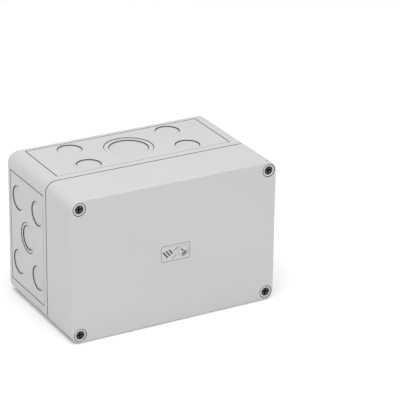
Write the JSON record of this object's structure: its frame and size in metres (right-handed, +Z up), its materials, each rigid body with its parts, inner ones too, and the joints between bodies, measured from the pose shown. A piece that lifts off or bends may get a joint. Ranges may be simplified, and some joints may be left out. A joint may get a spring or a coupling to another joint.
{
  "type": "electrical junction box",
  "caption": "Deep wall-mounted electrical junction box with break-out cable entries and a tall screw-on lid over rail-mounted terminals.",
  "frame": {"origin": "centre of the base's back face, the face that goes on the wall; the box is stored standing on its long side", "axes": "+X along the long side, to the right as the lid is seen; +Y out of the back face into the wall; +Z up along the short side"},
  "size_m": [0.18, 0.113, 0.12],
  "materials": {
    "enclosure": "fine-grained moulded, light grey",
    "lid": "fine-grained moulded, light grey",
    "bush": "smooth, light grey",
    "dark_screw": "dark, slightly glossy",
    "seal": "matt",
    "washer": "matt",
    "brass": "turned",
    "zinc": "zinc plated",
    "copper": "tinned copper",
    "terminal_grey": "satin moulded",
    "terminal_blue": "satin moulded",
    "terminal_green_yellow": "satin moulded, two-coloured",
    "marker": "blank white tag",
    "label": "printed film"
  },
  "bodies": {
    "enclosure_base": {"base_box": "enclosure", "lid_screw_inserts": "brass", "mounting_rail": "zinc", "rail_screws": "zinc", "terminal_end_plate": "terminal_grey", "terminal_markers": "marker", "rail_end_stop_left": "terminal_grey", "rail_end_stop_right": "terminal_grey", "knockouts_top": "enclosure", "knockouts_bottom": "enclosure", "knockouts_left": "enclosure", "knockouts_right": "enclosure", "terminal_l1": "terminal_grey", "terminal_l2": "terminal_grey", "terminal_l3": "terminal_grey", "terminal_n": "terminal_blue", "terminal_pe": "terminal_green_yellow", "current_bar_l1": "copper", "current_bar_l2": "copper", "current_bar_l3": "copper", "current_bar_n": "copper", "current_bar_pe": "copper"},
    "cover": {"lid": "lid", "lid_gasket": "seal", "label_plate": "label", "lid_screw_bushes": "bush"},
    "washer_1": {"lid_screw_washer_1": "washer"},
    "screw_1": {"lid_screw_1": "dark_screw"},
    "washer_2": {"lid_screw_washer_2": "washer"},
    "screw_2": {"lid_screw_2": "dark_screw"},
    "washer_3": {"lid_screw_washer_3": "washer"},
    "screw_3": {"lid_screw_3": "dark_screw"},
    "washer_4": {"lid_screw_washer_4": "washer"},
    "screw_4": {"lid_screw_4": "dark_screw"},
    "clamp_l1_upper": {"clamp_cage_l1_upper": "zinc"},
    "clamp_screw_l1_upper": {"terminal_screw_l1_upper": "zinc"},
    "clamp_l1_lower": {"clamp_cage_l1_lower": "zinc"},
    "clamp_screw_l1_lower": {"terminal_screw_l1_lower": "zinc"},
    "clamp_l2_upper": {"clamp_cage_l2_upper": "zinc"},
    "clamp_screw_l2_upper": {"terminal_screw_l2_upper": "zinc"},
    "clamp_l2_lower": {"clamp_cage_l2_lower": "zinc"},
    "clamp_screw_l2_lower": {"terminal_screw_l2_lower": "zinc"},
    "clamp_l3_upper": {"clamp_cage_l3_upper": "zinc"},
    "clamp_screw_l3_upper": {"terminal_screw_l3_upper": "zinc"},
    "clamp_l3_lower": {"clamp_cage_l3_lower": "zinc"},
    "clamp_screw_l3_lower": {"terminal_screw_l3_lower": "zinc"},
    "clamp_n_upper": {"clamp_cage_n_upper": "zinc"},
    "clamp_screw_n_upper": {"terminal_screw_n_upper": "zinc"},
    "clamp_n_lower": {"clamp_cage_n_lower": "zinc"},
    "clamp_screw_n_lower": {"terminal_screw_n_lower": "zinc"},
    "clamp_pe_upper": {"clamp_cage_pe_upper": "zinc"},
    "clamp_screw_pe_upper": {"terminal_screw_pe_upper": "zinc"},
    "clamp_pe_lower": {"clamp_cage_pe_lower": "zinc"},
    "clamp_screw_pe_lower": {"terminal_screw_pe_lower": "zinc"}
  },
  "joints": [
    {"name": "lid_removal", "type": "slide", "parent": "enclosure_base", "child": "cover", "axis": [0, -1, 0], "range_m": [0, 0.09]},
    {"name": "lid_screw_1_travel", "type": "slide", "parent": "cover", "child": "washer_1", "axis": [0, -1, 0], "range_m": [0, 0.0084]},
    {"name": "lid_screw_1_turn", "type": "hinge", "parent": "washer_1", "child": "screw_1", "pos_m": [0.0828, -0.09, 0.0527], "axis": [0, -1, 0], "range_deg": [0, 4320]},
    {"name": "lid_screw_2_travel", "type": "slide", "parent": "cover", "child": "washer_2", "axis": [0, -1, 0], "range_m": [0, 0.0084]},
    {"name": "lid_screw_2_turn", "type": "hinge", "parent": "washer_2", "child": "screw_2", "pos_m": [-0.0828, -0.09, 0.0527], "axis": [0, -1, 0], "range_deg": [0, 4320]},
    {"name": "lid_screw_3_travel", "type": "slide", "parent": "cover", "child": "washer_3", "axis": [0, -1, 0], "range_m": [0, 0.0084]},
    {"name": "lid_screw_3_turn", "type": "hinge", "parent": "washer_3", "child": "screw_3", "pos_m": [-0.0828, -0.09, -0.0527], "axis": [0, -1, 0], "range_deg": [0, 4320]},
    {"name": "lid_screw_4_travel", "type": "slide", "parent": "cover", "child": "washer_4", "axis": [0, -1, 0], "range_m": [0, 0.0084]},
    {"name": "lid_screw_4_turn", "type": "hinge", "parent": "washer_4", "child": "screw_4", "pos_m": [0.0828, -0.09, -0.0527], "axis": [0, -1, 0], "range_deg": [0, 4320]},
    {"name": "clamp_l1_upper_turn", "type": "hinge", "parent": "enclosure_base", "child": "clamp_screw_l1_upper", "pos_m": [-0.0153, -0.048, 0.0128], "axis": [0, -1, 0], "range_deg": [0, 2160]},
    {"name": "clamp_l1_upper_lift", "type": "slide", "parent": "enclosure_base", "child": "clamp_l1_upper", "axis": [0, 1, 0], "range_m": [0, 0.003]},
    {"name": "clamp_l1_lower_turn", "type": "hinge", "parent": "enclosure_base", "child": "clamp_screw_l1_lower", "pos_m": [-0.0153, -0.048, -0.0128], "axis": [0, -1, 0], "range_deg": [0, 2160]},
    {"name": "clamp_l1_lower_lift", "type": "slide", "parent": "enclosure_base", "child": "clamp_l1_lower", "axis": [0, 1, 0], "range_m": [0, 0.003]},
    {"name": "clamp_l2_upper_turn", "type": "hinge", "parent": "enclosure_base", "child": "clamp_screw_l2_upper", "pos_m": [-0.0073, -0.048, 0.0128], "axis": [0, -1, 0], "range_deg": [0, 2160]},
    {"name": "clamp_l2_upper_lift", "type": "slide", "parent": "enclosure_base", "child": "clamp_l2_upper", "axis": [0, 1, 0], "range_m": [0, 0.003]},
    {"name": "clamp_l2_lower_turn", "type": "hinge", "parent": "enclosure_base", "child": "clamp_screw_l2_lower", "pos_m": [-0.0073, -0.048, -0.0128], "axis": [0, -1, 0], "range_deg": [0, 2160]},
    {"name": "clamp_l2_lower_lift", "type": "slide", "parent": "enclosure_base", "child": "clamp_l2_lower", "axis": [0, 1, 0], "range_m": [0, 0.003]},
    {"name": "clamp_l3_upper_turn", "type": "hinge", "parent": "enclosure_base", "child": "clamp_screw_l3_upper", "pos_m": [0.0007, -0.048, 0.0128], "axis": [0, -1, 0], "range_deg": [0, 2160]},
    {"name": "clamp_l3_upper_lift", "type": "slide", "parent": "enclosure_base", "child": "clamp_l3_upper", "axis": [0, 1, 0], "range_m": [0, 0.003]},
    {"name": "clamp_l3_lower_turn", "type": "hinge", "parent": "enclosure_base", "child": "clamp_screw_l3_lower", "pos_m": [0.0007, -0.048, -0.0128], "axis": [0, -1, 0], "range_deg": [0, 2160]},
    {"name": "clamp_l3_lower_lift", "type": "slide", "parent": "enclosure_base", "child": "clamp_l3_lower", "axis": [0, 1, 0], "range_m": [0, 0.003]},
    {"name": "clamp_n_upper_turn", "type": "hinge", "parent": "enclosure_base", "child": "clamp_screw_n_upper", "pos_m": [0.0087, -0.048, 0.0128], "axis": [0, -1, 0], "range_deg": [0, 2160]},
    {"name": "clamp_n_upper_lift", "type": "slide", "parent": "enclosure_base", "child": "clamp_n_upper", "axis": [0, 1, 0], "range_m": [0, 0.003]},
    {"name": "clamp_n_lower_turn", "type": "hinge", "parent": "enclosure_base", "child": "clamp_screw_n_lower", "pos_m": [0.0087, -0.048, -0.0128], "axis": [0, -1, 0], "range_deg": [0, 2160]},
    {"name": "clamp_n_lower_lift", "type": "slide", "parent": "enclosure_base", "child": "clamp_n_lower", "axis": [0, 1, 0], "range_m": [0, 0.003]},
    {"name": "clamp_pe_upper_turn", "type": "hinge", "parent": "enclosure_base", "child": "clamp_screw_pe_upper", "pos_m": [0.0167, -0.048, 0.0128], "axis": [0, -1, 0], "range_deg": [0, 2160]},
    {"name": "clamp_pe_upper_lift", "type": "slide", "parent": "enclosure_base", "child": "clamp_pe_upper", "axis": [0, 1, 0], "range_m": [0, 0.003]},
    {"name": "clamp_pe_lower_turn", "type": "hinge", "parent": "enclosure_base", "child": "clamp_screw_pe_lower", "pos_m": [0.0167, -0.048, -0.0128], "axis": [0, -1, 0], "range_deg": [0, 2160]},
    {"name": "clamp_pe_lower_lift", "type": "slide", "parent": "enclosure_base", "child": "clamp_pe_lower", "axis": [0, 1, 0], "range_m": [0, 0.003]}
  ],
  "couplings": [
    {"joint": "lid_screw_1_turn", "follows": "lid_screw_1_travel", "rad_per_m": 8976},
    {"joint": "lid_screw_2_turn", "follows": "lid_screw_2_travel", "rad_per_m": 8976},
    {"joint": "lid_screw_3_turn", "follows": "lid_screw_3_travel", "rad_per_m": 8976},
    {"joint": "lid_screw_4_turn", "follows": "lid_screw_4_travel", "rad_per_m": 8976},
    {"joint": "clamp_l1_upper_turn", "follows": "clamp_l1_upper_lift", "rad_per_m": 12566},
    {"joint": "clamp_l1_lower_turn", "follows": "clamp_l1_lower_lift", "rad_per_m": 12566},
    {"joint": "clamp_l2_upper_turn", "follows": "clamp_l2_upper_lift", "rad_per_m": 12566},
    {"joint": "clamp_l2_lower_turn", "follows": "clamp_l2_lower_lift", "rad_per_m": 12566},
    {"joint": "clamp_l3_upper_turn", "follows": "clamp_l3_upper_lift", "rad_per_m": 12566},
    {"joint": "clamp_l3_lower_turn", "follows": "clamp_l3_lower_lift", "rad_per_m": 12566},
    {"joint": "clamp_n_upper_turn", "follows": "clamp_n_upper_lift", "rad_per_m": 12566},
    {"joint": "clamp_n_lower_turn", "follows": "clamp_n_lower_lift", "rad_per_m": 12566},
    {"joint": "clamp_pe_upper_turn", "follows": "clamp_pe_upper_lift", "rad_per_m": 12566},
    {"joint": "clamp_pe_lower_turn", "follows": "clamp_pe_lower_lift", "rad_per_m": 12566}
  ]
}
